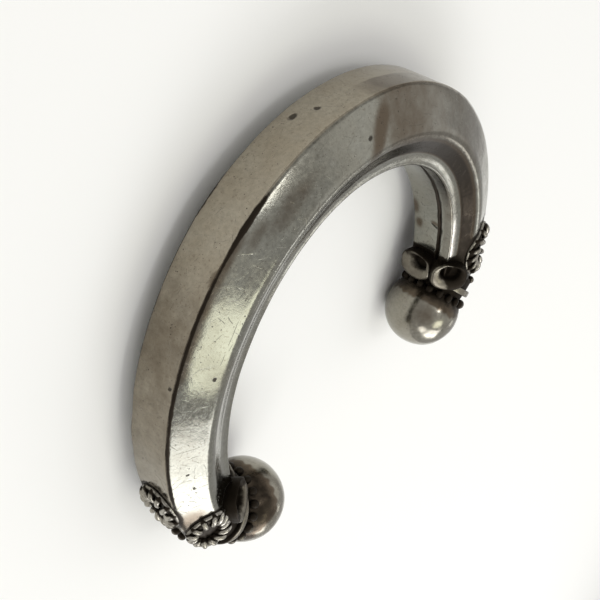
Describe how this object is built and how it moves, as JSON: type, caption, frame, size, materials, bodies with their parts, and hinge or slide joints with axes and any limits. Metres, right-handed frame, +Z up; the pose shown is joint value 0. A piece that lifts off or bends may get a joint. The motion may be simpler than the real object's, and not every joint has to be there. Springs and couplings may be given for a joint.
{
  "type": "open kada bracelet",
  "caption": "Open metal wrist cuff of faceted section, with round knobs at its ends and wirework rosettes, granules and a plain band before each knob.",
  "frame": {"origin": "on the surface that the bracelet lies on, under the middle of its bounding box", "axes": "+Z up, across the lying hoop; the mouth between the knobs faces -Y and the back is at +Y"},
  "size_m": [0.0882, 0.0734, 0.0161],
  "materials": {
    "kada": "worn silver, satin with fine scratches, dark tarnish round the wirework"
  },
  "bodies": {
    "root": {"kada": "kada"}
  },
  "joints": []
}
